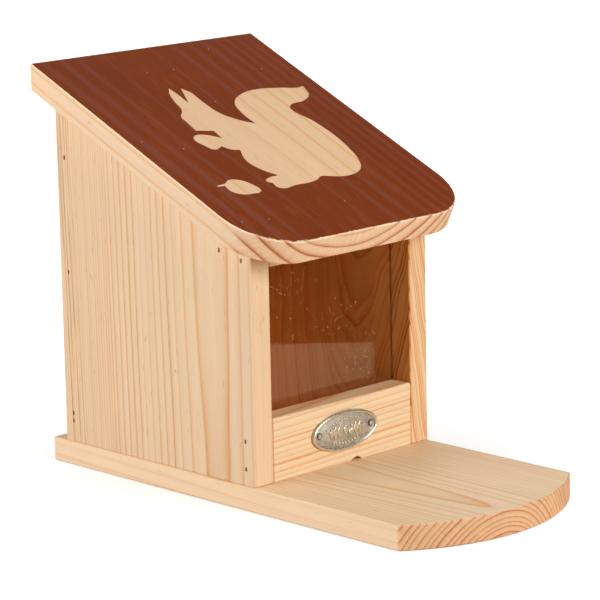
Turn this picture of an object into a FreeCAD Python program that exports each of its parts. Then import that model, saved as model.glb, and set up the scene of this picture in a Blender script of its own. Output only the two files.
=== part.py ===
import FreeCAD, Part
import math
import os

# A wooden squirrel feeder: a nut box with a window, standing on a base board
# that runs out in front as a porch, under a sloping lid hinged at the back.
# Millimetres. +Z is up, +Y points to the back, and +X is to the right of
# someone who faces the window. The origin is the middle of the underside.

# ---------------------------------------------------------------- timber sizes
board_thickness = 12.0
arris_bevel = 0.5           # every sawn edge is taken off with a sanding block
box_width = 118.0           # outside, across the two sides
box_depth = 135.0           # front edge of the sides to the back face
front_height = 115.0        # of the sides, above the base, at the front
roof_pitch = 24.5           # degrees

# ------------------------------------------------------------------ base board
porch_length = 91.0         # straight part of the base in front of the box
porch_bulge = 21.0          # height of the arc that rounds off the porch
back_ledge = 10.0           # base behind the box, keeps the hinges off the wall

# ---------------------------------------------------------------------- window
front_board_height = 31.0
rail_depth = 27.0
rail_thickness = 11.5
pane_thickness = 2.0
pane_clearance = 0.2        # each side of the pane in its grooves
pane_setback = 12.0         # front face of the sides to the pane's groove
side_groove_depth = 4.0
rail_groove_depth = 3.0
drain_width = 7.5           # notch under the front board that lets water out
drain_height = 1.8
drain_offset = 8.5          # of the notch from the middle

# ------------------------------------------------------------------------- lid
roof_overhang = 14.5        # at each side
roof_length = 173.4         # along the slope, on the upper face
roof_corner_radius = 30.0
lid_relief = 0.3            # the lid bears on the two sides and clears the rest

# ---------------------------------------------------------------------- hinges
hinge_inset = 15.0          # from a side's inner face to the middle of its hinge
hinge_length = 25.0
leaf_width = 10.0           # from the pin's axis to the leaf's far edge
leaf_thickness = 0.8
knuckle_radius = 2.0
knuckle_standoff = 0.3      # barrel to the wood
knuckle_gap = 0.25          # between one knuckle and the next, along the pin
knuckle_root_gap = 0.4      # barrel of one leaf to the edge of the other leaf
pin_radius = 1.0
pin_running_clearance = 0.05
pin_grip_clearance = 0.01
pin_end = 0.6               # the pin stands out by this at each end
screw_spacing = 15.0
screw_height = 6.2          # from the pin's axis
screw_length = 10.0
screw_shank_radius = 1.1
screw_head_radius = 1.9
screw_slot_width = 0.5
screw_slot_depth = 0.5
screw_clearance = 0.05
pilot_hole_overrun = 1.0    # the drilled hole goes this much deeper than the screw

# ----------------------------------------------------------------------- brads
brad_length = 25.0
brad_width = 1.2
brad_thickness = 1.0
brad_head_width = 2.0
brad_head_thickness = 1.25
brad_head_height = 0.7
brad_point_length = 1.6
brad_sink = 0.9             # heads are driven this far below the face
brad_clearance = 0.03
back_brad_rises = [10.9, 14.7, 85.7]    # above the base, the first two close together
back_brad_top_margin = 34.0             # top one, below the box's back corner
front_brad_bottom_margin = 8.2
front_brad_top_margin = 9.6
rail_brad_margin = 6.2                  # from the rail's front and back edges
rail_brad_stagger = 1.6                 # front one lower, back one higher
base_brad_margin = 20.0                 # from the box's front and back
base_brad_spread = 50.0                 # between the two under the back panel

# ------------------------------------------------------------------ name plate
plate_width = 46.0
plate_height = 20.0
plate_end_radius = 5.8      # of the oval's two short arcs
plate_thickness = 1.8
plate_rim = 1.5
plate_field_depth = 0.9
plate_edge_bevel = 0.6
plate_rise = 16.9           # of its middle above the base
plate_pin_spacing = 35.0
plate_pin_radius = 0.7
plate_pin_length = 9.0
plate_pin_head_radius = 1.3
plate_pin_head_height = 0.6
plate_pin_clearance = 0.05

# -------------------------------------------------------------- hanging fixing
hanging_hole_radius = 2.5
hanging_hole_rise = 140.0   # above the base

# --------------------------------------------------------------- worked places
pitch = math.radians(roof_pitch)
base_length = porch_length + porch_bulge + box_depth + back_ledge
base_back = base_length / 2.0
base_top = board_thickness
box_back = base_back - back_ledge
box_front = box_back - box_depth
inside_width = box_width - 2.0 * board_thickness
side_inner_x = inside_width / 2.0
side_outer_x = box_width / 2.0
back_height = front_height + box_depth * math.tan(pitch)
underside_back = base_top + back_height
roof_width = box_width + 2.0 * roof_overhang
rail_top = base_top + front_height - lid_relief
rail_bottom = rail_top - rail_thickness
groove_front = box_front + pane_setback
groove_width = pane_thickness + 2.0 * pane_clearance
pin_axis_y = box_back + knuckle_radius + knuckle_standoff
pin_axis_z = underside_back

X_AXIS = FreeCAD.Vector(1, 0, 0)
Y_AXIS = FreeCAD.Vector(0, 1, 0)
Z_AXIS = FreeCAD.Vector(0, 0, 1)


# ------------------------------------------------------------------ shop tools
def block(low, high):
    """A plain block between two corners."""
    size = [high[axis] - low[axis] for axis in range(3)]
    return Part.makeBox(size[0], size[1], size[2], FreeCAD.Vector(*low))


def side_profile(points, x_from, x_to):
    """A board cut to a (y, z) outline and run from one x to another."""
    corners = [FreeCAD.Vector(x_from, y, z) for y, z in points]
    outline = Part.makePolygon(corners + corners[:1])
    return Part.Face(outline).extrude(FreeCAD.Vector(x_to - x_from, 0, 0))


def eased(board):
    """Take the sharpness off every edge of a board."""
    return board.makeChamfer(arris_bevel, board.Edges)


def turned(profile, base, direction):
    """A turned piece from (radius, distance) points, set on an axis."""
    corners = [FreeCAD.Vector(radius, 0, along) for radius, along in profile]
    outline = Part.makePolygon(corners + corners[:1])
    piece = Part.Face(outline).revolve(FreeCAD.Vector(0, 0, 0), Z_AXIS, 360)
    piece.Placement = FreeCAD.Placement(base, FreeCAD.Rotation(Z_AXIS, direction))
    return piece


def roof_underside(y):
    """Height of the lid's underside over a point of the box."""
    return underside_back - (box_back - y) * math.tan(pitch)


# ----------------------------------------------------------------------- brads
def brad_form(growth):
    """A brad driven down -Z from a face at z = 0, grown by a clearance."""
    head_x = brad_head_thickness / 2.0 + growth
    head_y = brad_head_width / 2.0 + growth
    wire_x = brad_thickness / 2.0 + growth
    wire_y = brad_width / 2.0 + growth
    head_top = -brad_sink
    head_base = head_top - brad_head_height
    tip = head_top - brad_length
    head = block([-head_x, -head_y, head_base], [head_x, head_y, head_top])
    wire = block([-wire_x, -wire_y, tip], [wire_x, wire_y, head_base])
    cheek = [
        FreeCAD.Vector(0, wire_y, tip),
        FreeCAD.Vector(wire_x, wire_y, tip),
        FreeCAD.Vector(wire_x, wire_y, tip + brad_point_length),
    ]
    cheek_face = Part.Face(Part.makePolygon(cheek + cheek[:1]))
    right_cut = cheek_face.extrude(FreeCAD.Vector(0, -2.0 * wire_y, 0))
    left_cut = right_cut.mirror(FreeCAD.Vector(0, 0, 0), X_AXIS)
    return head.fuse(wire).cut(right_cut).cut(left_cut).removeSplitter()


def brad_pocket():
    """The hole that a brad leaves: its own form and the sunk mouth over it."""
    head_x = brad_head_thickness / 2.0 + brad_clearance
    head_y = brad_head_width / 2.0 + brad_clearance
    overrun = 1.0
    mouth = block([-head_x, -head_y, -brad_sink - brad_head_height], [head_x, head_y, overrun])
    return brad_form(brad_clearance).fuse(mouth).removeSplitter()


def driven(form, place, outward):
    """Set a brad or its pocket at a face whose outward direction is given."""
    long_side = Y_AXIS if abs(outward.z) > 0.5 else Z_AXIS
    turn = FreeCAD.Rotation(long_side.cross(outward), long_side, outward, "ZYX")
    copy = form.copy()
    copy.Placement = FreeCAD.Placement(place, turn)
    return copy


def side_brad_places(spots):
    """Both sides' places and outward directions for a list of (y, z) spots."""
    places = []
    for hand in (-1, 1):
        for y, z in spots:
            face = FreeCAD.Vector(hand * side_outer_x, y, z)
            places.append((face, FreeCAD.Vector(hand, 0, 0)))
    return places


brad_line = board_thickness / 2.0
back_line_y = box_back - brad_line
back_spots = [(back_line_y, base_top + rise) for rise in back_brad_rises]
back_spots.append((back_line_y, underside_back - back_brad_top_margin))
front_line_y = box_front + brad_line
front_spots = [
    (front_line_y, base_top + front_brad_bottom_margin),
    (front_line_y, base_top + front_board_height - front_brad_top_margin),
]
rail_middle = (rail_bottom + rail_top) / 2.0
rail_spots = [
    (box_front + rail_brad_margin, rail_middle - rail_brad_stagger),
    (box_front + rail_depth - rail_brad_margin, rail_middle + rail_brad_stagger),
]

back_brads = side_brad_places(back_spots)
front_brads = side_brad_places(front_spots)
rail_brads = side_brad_places(rail_spots)

DOWN = FreeCAD.Vector(0, 0, -1)
base_brads = []
base_brad_front = box_front + base_brad_margin
base_brad_back = box_back - base_brad_margin
base_brad_middle = (base_brad_front + base_brad_back) / 2.0
for side_x in (-side_outer_x + brad_line, side_outer_x - brad_line):
    for side_y in (base_brad_front, base_brad_middle, base_brad_back):
        base_brads.append((FreeCAD.Vector(side_x, side_y, 0), DOWN))
for back_x in (-base_brad_spread / 2.0, base_brad_spread / 2.0):
    base_brads.append((FreeCAD.Vector(back_x, back_line_y, 0), DOWN))

BRAD = brad_form(0.0)
POCKET = brad_pocket()


def bored_for_brads(board, brads):
    """Cut the pockets of the given brads out of a board."""
    pockets = [driven(POCKET, place, outward) for place, outward in brads]
    return board.cut(pockets)


def brad_set(brads):
    """The brads themselves, as separate solids."""
    return Part.makeCompound([driven(BRAD, place, outward) for place, outward in brads])


# ---------------------------------------------------------------------- hinges
def screw_profile():
    """Half section of a screw whose countersunk head is as deep as the leaf."""
    return [
        (0.0, 0.0),
        (screw_head_radius, 0.0),
        (screw_shank_radius, -leaf_thickness),
        (screw_shank_radius, -screw_length),
        (0.0, -screw_length),
    ]


def hinge_screw_places(hinge_x, hand):
    """Head centres of the two screws of a leaf; hand is 1 for the lid, -1 below."""
    places = []
    for step in (-0.5, 0.5):
        x = hinge_x + step * screw_spacing
        z = pin_axis_z + hand * screw_height
        places.append(FreeCAD.Vector(x, box_back + leaf_thickness, z))
    return places


def screw(place):
    """A slotted screw driven from the back."""
    body = turned(screw_profile(), place, Y_AXIS)
    half_length = screw_head_radius + 1.0
    half_width = screw_slot_width / 2.0
    low = [place.x - half_length, place.y - screw_slot_depth, place.z - half_width]
    high = [place.x + half_length, place.y + 1.0, place.z + half_width]
    return body.cut(block(low, high))


def pilot_hole(place):
    """The straight hole drilled for a screw in the wood behind a leaf."""
    depth = screw_length - leaf_thickness + pilot_hole_overrun
    floor = FreeCAD.Vector(place.x, box_back - depth, place.z)
    return Part.makeCylinder(screw_shank_radius + screw_clearance, depth + 1.0, floor, Y_AXIS)


def countersunk_hole(place):
    """The hole in a leaf, with the screw head's taper."""
    mouth = FreeCAD.Vector(place.x, box_back + leaf_thickness, place.z)
    low = screw_shank_radius + screw_clearance
    high = screw_head_radius + screw_clearance
    return Part.makeCone(high, low, leaf_thickness, mouth, -Y_AXIS)


def knuckle_spans(hinge_x):
    """The three knuckles' x ranges along the pin: left, middle, right."""
    span = hinge_length / 3.0
    start = hinge_x - hinge_length / 2.0
    inner = knuckle_gap / 2.0
    return [
        (start, start + span - inner),
        (start + span + inner, start + 2.0 * span - inner),
        (start + 2.0 * span + inner, start + hinge_length),
    ]


def hinge_leaf(hinge_x, hand, spans, bore_radius):
    """A leaf screwed flat to the back, with the knuckles in the given spans."""
    near = pin_axis_z + hand * (knuckle_radius + knuckle_root_gap)
    far = pin_axis_z + hand * leaf_width
    left = hinge_x - hinge_length / 2.0
    right = hinge_x + hinge_length / 2.0
    low = [left, box_back, min(near, far)]
    high = [right, box_back + leaf_thickness, max(near, far)]
    leaf = block(low, high)
    for x_from, x_to in spans:
        root_low = [x_from, box_back, min(pin_axis_z, near)]
        root_high = [x_to, box_back + leaf_thickness, max(pin_axis_z, near)]
        start = FreeCAD.Vector(x_from, pin_axis_y, pin_axis_z)
        barrel = Part.makeCylinder(knuckle_radius, x_to - x_from, start, X_AXIS)
        leaf = leaf.fuse([block(root_low, root_high), barrel])
    bore_start = FreeCAD.Vector(left - 1.0, pin_axis_y, pin_axis_z)
    bore = Part.makeCylinder(bore_radius, hinge_length + 2.0, bore_start, X_AXIS)
    holes = [countersunk_hole(place) for place in hinge_screw_places(hinge_x, hand)]
    return leaf.cut([bore] + holes).removeSplitter()


def hinge_pin(hinge_x):
    """The pin, gripped by the box leaf's two knuckles and free in the lid's."""
    length = hinge_length + 2.0 * pin_end
    start = FreeCAD.Vector(hinge_x - length / 2.0, pin_axis_y, pin_axis_z)
    return Part.makeCylinder(pin_radius, length, start, X_AXIS)


hinge_x_right = side_inner_x - hinge_inset
hinge_places = {"left": -hinge_x_right, "right": hinge_x_right}
lid_screw_places = []
box_screw_places = []
for hinge_x in hinge_places.values():
    lid_screw_places += hinge_screw_places(hinge_x, 1)
    box_screw_places += hinge_screw_places(hinge_x, -1)


# ------------------------------------------------------------------ name plate
plate_centre_z = base_top + plate_rise
plate_pin_places = [
    FreeCAD.Vector(hand * plate_pin_spacing / 2.0, box_front, plate_centre_z) for hand in (-1, 1)
]


def oval(inset, y_from, y_to):
    """An upright disc in the plate's four-arc oval, drawn in by an inset."""
    half_width = plate_width / 2.0 - inset
    half_height = plate_height / 2.0 - inset
    end_radius = plate_end_radius - inset
    end_centre = half_width - end_radius
    squares = end_centre ** 2 + half_height ** 2 - end_radius ** 2
    long_radius = squares / (2.0 * (half_height - end_radius))
    drop = long_radius - half_height
    reach = long_radius / math.hypot(end_centre, drop)
    join_x = end_centre * reach
    join_z = drop * reach - drop
    corners = [(join_x, -join_z), (join_x, join_z), (-join_x, join_z), (-join_x, -join_z)]
    crowns = [(half_width, 0), (0, half_height), (-half_width, 0), (0, -half_height)]
    arcs = []
    for turn, crown in enumerate(crowns):
        ring_points = [corners[turn], crown, corners[(turn + 1) % 4]]
        through = [FreeCAD.Vector(x, y_from, plate_centre_z + z) for x, z in ring_points]
        arcs.append(Part.Arc(*through).toShape())
    return Part.Face(Part.Wire(arcs)).extrude(Y_AXIS * (y_to - y_from))


def plate_pin(place):
    """A flat-headed pin whose head bears on the plate's field."""
    seat = FreeCAD.Vector(place.x, box_front - plate_thickness + plate_field_depth, place.z)
    head = Part.makeCylinder(plate_pin_head_radius, plate_pin_head_height, seat, -Y_AXIS)
    shank = Part.makeCylinder(plate_pin_radius, plate_pin_length, seat, Y_AXIS)
    return head.fuse(shank)


def plate_pin_hole(place):
    """The hole for a pin through the plate and into the front board."""
    depth = plate_thickness + plate_pin_length
    start = FreeCAD.Vector(place.x, box_front - plate_thickness, place.z)
    return Part.makeCylinder(plate_pin_radius + plate_pin_clearance, depth, start, Y_AXIS)


# ---------------------------------------------------------------------- pieces
def base_board():
    half = side_outer_x
    front = box_front - porch_length
    tip = front - porch_bulge
    left = FreeCAD.Vector(-half, front, 0)
    right = FreeCAD.Vector(half, front, 0)
    back_right = FreeCAD.Vector(half, base_back, 0)
    back_left = FreeCAD.Vector(-half, base_back, 0)
    middle = FreeCAD.Vector(0, tip, 0)
    bow = Part.Arc(left, middle, right)
    at_middle = bow.parameter(middle)
    arcs = [bow.toShape(bow.FirstParameter, at_middle), bow.toShape(at_middle, bow.LastParameter)]
    sides = [
        Part.makeLine(right, back_right),
        Part.makeLine(back_right, back_left),
        Part.makeLine(back_left, left),
    ]
    plan = Part.Face(Part.Wire(arcs + sides))
    board = eased(plan.extrude(FreeCAD.Vector(0, 0, board_thickness)))
    return bored_for_brads(board, base_brads)


def side_board(hand):
    inner = hand * side_inner_x
    outer = hand * side_outer_x
    outline = [
        (box_front, base_top),
        (box_back, base_top),
        (box_back, underside_back),
        (box_front, roof_underside(box_front)),
    ]
    board = eased(side_profile(outline, min(inner, outer), max(inner, outer)))
    groove_floor = hand * (side_inner_x + side_groove_depth)
    groove = block(
        [min(inner, groove_floor), groove_front, base_top - 1.0],
        [max(inner, groove_floor), groove_front + groove_width, underside_back],
    )
    side_brads = back_brads + front_brads + rail_brads
    own = [brad for brad in side_brads if brad[0].x * hand > 0] + base_brads
    return bored_for_brads(board.cut(groove), own)


def back_panel():
    inner_y = box_back - board_thickness
    outline = [
        (inner_y, base_top),
        (box_back, base_top),
        (box_back, underside_back - lid_relief),
        (inner_y, roof_underside(inner_y) - lid_relief),
    ]
    board = eased(side_profile(outline, -side_inner_x, side_inner_x))
    start = FreeCAD.Vector(0, inner_y - 1.0, base_top + hanging_hole_rise)
    hole = Part.makeCylinder(hanging_hole_radius, board_thickness + 2.0, start, Y_AXIS)
    screw_holes = [pilot_hole(place) for place in box_screw_places]
    return bored_for_brads(board.cut([hole] + screw_holes), back_brads + base_brads)


def front_board():
    low = [-side_inner_x, box_front, base_top]
    high = [side_inner_x, box_front + board_thickness, base_top + front_board_height]
    board = eased(block(low, high))
    notch_radius = drain_width ** 2 / (8.0 * drain_height) + drain_height / 2.0
    start = FreeCAD.Vector(drain_offset, box_front - 1.0, base_top + drain_height - notch_radius)
    notch = Part.makeCylinder(notch_radius, board_thickness + 2.0, start, Y_AXIS)
    pin_holes = [plate_pin_hole(place) for place in plate_pin_places]
    return bored_for_brads(board.cut([notch] + pin_holes), front_brads)


def top_rail():
    low = [-side_inner_x, box_front, rail_bottom]
    high = [side_inner_x, box_front + rail_depth, rail_top]
    rail = eased(block(low, high))
    groove = block(
        [-side_inner_x - 1.0, groove_front, rail_bottom - 1.0],
        [side_inner_x + 1.0, groove_front + groove_width, rail_bottom + rail_groove_depth],
    )
    return bored_for_brads(rail.cut(groove), rail_brads)


def window_pane():
    reach = side_inner_x + side_groove_depth - pane_clearance
    front = groove_front + pane_clearance
    top = rail_bottom + rail_groove_depth - pane_clearance
    return block([-reach, front, base_top], [reach, front + pane_thickness, top])


def roof_lid():
    slope = FreeCAD.Vector(0, -math.cos(pitch), -math.sin(pitch))
    inward = FreeCAD.Vector(0, math.sin(pitch), -math.cos(pitch))
    ridge = FreeCAD.Vector(0, box_back, underside_back + board_thickness / math.cos(pitch))
    eave = ridge + slope * roof_length
    eave_below = eave + inward * board_thickness
    outline = [
        (box_back, underside_back),
        (ridge.y, ridge.z),
        (eave.y, eave.z),
        (eave_below.y, eave_below.z),
    ]
    board = side_profile(outline, -roof_width / 2.0, roof_width / 2.0)
    eave_middle_y = (eave.y + eave_below.y) / 2.0
    corners = []
    for edge in board.Edges:
        middle = edge.CenterOfMass
        at_side = abs(abs(middle.x) - roof_width / 2.0) < 1e-6
        if at_side and abs(middle.y - eave_middle_y) < 1e-6:
            corners.append(edge)
    board = eased(board.makeFillet(roof_corner_radius, corners))
    return board.cut([pilot_hole(place) for place in lid_screw_places])


def oval_plate():
    front = box_front - plate_thickness
    disc = oval(0.0, front, box_front)
    rim = [edge for edge in disc.Edges if edge.BoundBox.YMax < front + 1e-6]
    disc = disc.makeChamfer(plate_edge_bevel, rim)
    field = oval(plate_rim, front - 1.0, front + plate_field_depth)
    holes = [plate_pin_hole(place) for place in plate_pin_places]
    return disc.cut([field] + holes)


nodes = {
    "base_board": base_board(),
    "left_side": side_board(-1),
    "right_side": side_board(1),
    "back_panel": back_panel(),
    "front_board": front_board(),
    "top_rail": top_rail(),
    "window_pane": window_pane(),
    "roof_lid": roof_lid(),
    "oval_plate": oval_plate(),
    "plate_pins": Part.makeCompound([plate_pin(place) for place in plate_pin_places]),
    "back_panel_brads": brad_set(back_brads),
    "front_board_brads": brad_set(front_brads),
    "rail_brads": brad_set(rail_brads),
    "base_brads": brad_set(base_brads),
    "hinge_box_screws": Part.makeCompound([screw(place) for place in box_screw_places]),
    "hinge_lid_screws": Part.makeCompound([screw(place) for place in lid_screw_places]),
}

for hinge_name, hinge_x in hinge_places.items():
    left_knuckle, middle_knuckle, right_knuckle = knuckle_spans(hinge_x)
    fixed_knuckles = [left_knuckle, right_knuckle]
    fixed_bore = pin_radius + pin_grip_clearance
    lid_bore = pin_radius + pin_running_clearance
    nodes[hinge_name + "_hinge_box_leaf"] = hinge_leaf(hinge_x, -1, fixed_knuckles, fixed_bore)
    nodes[hinge_name + "_hinge_lid_leaf"] = hinge_leaf(hinge_x, 1, [middle_knuckle], lid_bore)
    nodes[hinge_name + "_hinge_pin"] = hinge_pin(hinge_x)

os.makedirs("parts", exist_ok=True)
for node_name, shape in nodes.items():
    shape.exportStep("parts/" + node_name + ".step")
    print(node_name, "solids", len(shape.Solids), "valid", shape.isValid(), "volume", round(shape.Volume, 1))
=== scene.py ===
import math
import random

import bpy
from bpy.props import FloatProperty, FloatVectorProperty, IntProperty, PointerProperty
from mathutils import Matrix, Vector


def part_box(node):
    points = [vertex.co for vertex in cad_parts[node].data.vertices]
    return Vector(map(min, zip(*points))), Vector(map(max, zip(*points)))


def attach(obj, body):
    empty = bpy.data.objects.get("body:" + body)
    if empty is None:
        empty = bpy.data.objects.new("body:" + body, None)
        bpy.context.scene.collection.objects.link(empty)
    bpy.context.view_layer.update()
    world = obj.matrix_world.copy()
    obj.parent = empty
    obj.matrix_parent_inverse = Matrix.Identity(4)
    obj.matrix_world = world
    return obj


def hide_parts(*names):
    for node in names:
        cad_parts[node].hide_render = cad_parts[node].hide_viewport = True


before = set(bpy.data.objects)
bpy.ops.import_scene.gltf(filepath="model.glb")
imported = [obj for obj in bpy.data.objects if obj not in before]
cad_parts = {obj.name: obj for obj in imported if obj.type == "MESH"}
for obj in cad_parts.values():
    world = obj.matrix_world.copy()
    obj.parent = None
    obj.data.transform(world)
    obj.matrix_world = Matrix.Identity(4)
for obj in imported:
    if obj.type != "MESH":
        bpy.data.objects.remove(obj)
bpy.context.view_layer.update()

bl_info = {
    "name": "Squirrel feeder finish",
    "version": (1, 0, 0),
    "blender": (4, 5, 0),
    "location": "3D View > Sidebar > Feeder",
    "description": "Timber, paint, window, plaque and hinge finishes for a wooden squirrel feeder",
    "category": "Object",
}


def linear(red, green, blue):
    """A colour given in display values from 0 to 255, as linear light."""
    channels = []
    for value in (red, green, blue):
        value = value / 255.0
        channels.append(value / 12.92 if value <= 0.04045 else ((value + 0.055) / 1.055) ** 2.4)
    return tuple(channels)


def tinted(colour, tint):
    """A colour scaled channel by channel, at most white."""
    return tuple(min(1.0, channel * factor) for channel, factor in zip(colour, tint))


def dimmed(colour, factor):
    return tinted(colour, (factor, factor, factor))


# ------------------------------------------------------------------- places
PLATE_LOW, PLATE_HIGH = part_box("oval_plate")
PANE_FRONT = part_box("window_pane")[0].y
BACK_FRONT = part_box("back_panel")[0].y
ROOF_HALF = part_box("roof_lid")[1].x

PITCH = math.radians(24.5)
ROOF_LENGTH = 0.1734
BOARD = 0.012               # thickness
ARRIS = 0.0005
CORNER_RADIUS = 0.030
BOX_BACK = 0.1185           # back face of the box and plumb end of the lid
HINGE_HEIGHT = 0.188523     # the lid's underside over the back of the box
STORE_HALF = 0.0475         # half the width inside the box, and a little over
PANE_HALF = 0.0472          # where the pane has gone into its grooves
ACRYLIC_IOR = 1.49
PLATE_PIN = 0.0175          # a plate pin's distance from the middle
PLAQUE_OFF = Vector((0.00015, 0.0, -0.00035))   # from the plate's middle to the plaque's
PLAQUE_SHARE = 0.96         # of the plate's size, before the rim swells it
PLAQUE_THICK = 0.0009
FIELD_DEPTH = 0.00112       # the plaque's field stands off the board by this
SKIN_GAP = 0.00002          # what lies on a face stands off it by this
# the ridge is the top face's back edge before its arris is taken off
RIDGE = Vector((0.0, BOX_BACK, HINGE_HEIGHT + BOARD / math.cos(PITCH)))
UPHILL = Vector((0.0, math.cos(PITCH), math.sin(PITCH)))
OUTWARD = Vector((0.0, -math.sin(PITCH), math.cos(PITCH)))
EAVE = RIDGE - UPHILL * ROOF_LENGTH


# ----------------------------------------------------------------- settings
def tone(name, description, value):
    return FloatVectorProperty(
        name=name, description=description, subtype="COLOR", size=3, min=0.0, max=1.0, default=value
    )


def length(name, description, value):
    return FloatProperty(
        name=name, description=description, subtype="DISTANCE", unit="LENGTH", default=value, precision=5
    )


def share(name, description, value, top=1.0):
    return FloatProperty(name=name, description=description, default=value, min=0.0, max=top)


class FeederTimberSettings(bpy.types.PropertyGroup):
    early_wood: tone("Early wood", "Pale wood between the growth rings", linear(230, 206, 172))
    late_wood: tone("Late wood", "Orange line that closes a growth ring", linear(216, 154, 75))
    end_early: tone("End grain", "Pale wood on a cut end", linear(225, 183, 139))
    end_late: tone("End grain lines", "Growth rings on a cut end", linear(182, 90, 38))
    # painted shade: this tint darkens and reddens the wood that faces into the box
    inside: tone("Inside", "How much redder the wood is inside the box", (1.0, 0.675, 0.33))
    oiled: tone("Oiled roof", "How much yellower the bare wood is on top of the roof", (0.965, 0.885, 0.80))
    streak: tone("Dark streaks", "Grey-brown streaks at the back edge of a side", linear(150, 96, 54))
    ring_depth: length("Ring relief", "How far the rings stand out of the planed face", 0.00005)


class FeederPaintSettings(bpy.types.PropertyGroup):
    paint: tone("Paint", "Red-brown paint of the roof", linear(123, 53, 18))
    band: tone("Paint over rings", "Paint where it lies on hard rings", linear(126, 64, 43))
    fleck: tone("Flecks", "Wood that shines through thin paint", linear(160, 84, 42))
    film: length("Film", "Thickness of the coat of paint", 0.00012)
    ragged: length("Ragged edge", "How far the paint line wanders at the rounded corners", 0.0020)


class FeederWindowSettings(bpy.types.PropertyGroup):
    tint: tone("Pane", "Colour of the clear sheet", (0.97, 0.97, 0.96))
    dust: tone("Dust", "Colour of the dust on the pane", linear(225, 195, 155))
    grains: IntProperty(name="Dust grains", description="Grains laid in each patch", default=130, min=0)


class FeederPlaqueSettings(bpy.types.PropertyGroup):
    metal: tone("Metal", "Worn high places of the cast plaque", linear(230, 222, 204))
    patina: tone("Patina", "Dark metal in the low places", linear(84, 82, 70))
    relief: length("Relief", "Height of the oak sprig over the field", 0.00065)


class FeederHardwareSettings(bpy.types.PropertyGroup):
    brass: tone("Brass", "Hinge leaves, pins and screws", linear(205, 174, 112))
    brad: tone("Brads", "Driven nail heads", linear(192, 132, 78))


class FeederStageSettings(bpy.types.PropertyGroup):
    floor: tone("Floor", "Plain pale floor", (0.80, 0.80, 0.80))
    bounce: tone("Floor bounce", "What the floor gives back to the timber", (0.58, 0.48, 0.38))
    key: share("Key lamp", "Power of the lamp on the left, in watts", 22.2, 200.0)
    front: share("Front lamp", "Power of the lamp on the front right, in watts", 26.5, 200.0)
    top: share("Top lamp", "Power of the lamp above, in watts", 8.2, 200.0)
    back: share("Back lamp", "Power of the lamp behind, in watts", 5.0, 200.0)
    ambient: share("Room light", "Strength of the even light of the room", 0.04, 2.0)
    table: tone("Table", "Warm table top that shines back from glass and metal", (0.95, 0.60, 0.36))


class FeederSettings(bpy.types.PropertyGroup):
    timber: PointerProperty(type=FeederTimberSettings)
    paint: PointerProperty(type=FeederPaintSettings)
    window: PointerProperty(type=FeederWindowSettings)
    plaque: PointerProperty(type=FeederPlaqueSettings)
    hardware: PointerProperty(type=FeederHardwareSettings)
    stage: PointerProperty(type=FeederStageSettings)


# -------------------------------------------------------------- node wiring
class Wiring:
    """Adds nodes to a tree and joins them up in one call each."""

    def __init__(self, tree):
        self.tree = tree
        self.column = 0

    def node(self, kind, inputs=None, **settings):
        made = self.tree.nodes.new(kind)
        made.location = (220 * (self.column % 12), -260 * (self.column // 12))
        self.column += 1
        for name, value in settings.items():
            setattr(made, name, value)
        self.feed(made, inputs or {})
        return made

    def feed(self, made, inputs):
        for key, value in inputs.items():
            self.put(made.inputs[key], value)

    def put(self, socket, value):
        if isinstance(value, bpy.types.NodeSocket):
            self.tree.links.new(value, socket)
        elif socket.type == "RGBA" and len(value) == 3:
            socket.default_value = (*value, 1.0)
        else:
            socket.default_value = value

    def math(self, operation, first, second=0.0, third=0.0, clamp=False):
        inputs = {0: first, 1: second, 2: third}
        return self.node("ShaderNodeMath", inputs, operation=operation, use_clamp=clamp).outputs[0]

    def plus(self, first, second):
        return self.math("ADD", first, second)

    def times(self, first, second):
        return self.math("MULTIPLY", first, second)

    def vector(self, operation, first, second=(0.0, 0.0, 0.0)):
        made = self.node("ShaderNodeVectorMath", {0: first, 1: second}, operation=operation)
        return made.outputs["Value" if operation in ("DOT_PRODUCT", "LENGTH") else "Vector"]

    def stretch(self, vector, x, y, z):
        return self.vector("MULTIPLY", vector, (x, y, z))

    def scaled(self, vector, factor):
        made = self.node("ShaderNodeVectorMath", {0: vector, "Scale": factor}, operation="SCALE")
        return made.outputs["Vector"]

    def noise(self, vector, scale=1.0, detail=2.0, rough=0.5, output="Fac"):
        inputs = {"Vector": vector, "Scale": scale, "Detail": detail, "Roughness": rough}
        return self.node("ShaderNodeTexNoise", inputs).outputs[output]

    def cells(self, vector, scale=1.0, **settings):
        return self.node("ShaderNodeTexVoronoi", {"Vector": vector, "Scale": scale}, **settings).outputs

    def noise_line(self, along, scale=1.0, detail=1.0):
        inputs = {"W": along, "Scale": scale, "Detail": detail}
        return self.node("ShaderNodeTexNoise", inputs, noise_dimensions="1D").outputs["Fac"]

    def chance(self, along):
        return self.node("ShaderNodeTexWhiteNoise", {"W": along}, noise_dimensions="1D").outputs["Value"]

    def span(self, value, low, high, to_low=0.0, to_high=1.0, soft=False):
        inputs = {"Value": value, "From Min": low, "From Max": high, "To Min": to_low, "To Max": to_high}
        kind = "SMOOTHSTEP" if soft else "LINEAR"
        return self.node("ShaderNodeMapRange", inputs, interpolation_type=kind, clamp=True).outputs["Result"]

    def blend(self, amount, first, second, mode="MIX"):
        inputs = {0: amount, 6: first, 7: second}
        return self.node("ShaderNodeMix", inputs, data_type="RGBA", blend_type=mode).outputs[2]

    def mix_shaders(self, amount, first, second):
        return self.node("ShaderNodeMixShader", {0: amount, 1: first, 2: second}).outputs["Shader"]

    def split(self, vector):
        return self.node("ShaderNodeSeparateXYZ", {0: vector}).outputs

    def join(self, x, y, z):
        return self.node("ShaderNodeCombineXYZ", {0: x, 1: y, 2: z}).outputs[0]

    def here(self, kind="Object"):
        """The shaded point in the object's own space, or the normal there."""
        return self.node("ShaderNodeTexCoord").outputs[kind]

    def bump(self, height, strength, distance):
        inputs = {"Height": height, "Strength": strength, "Distance": distance}
        return self.node("ShaderNodeBump", inputs).outputs["Normal"]


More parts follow.
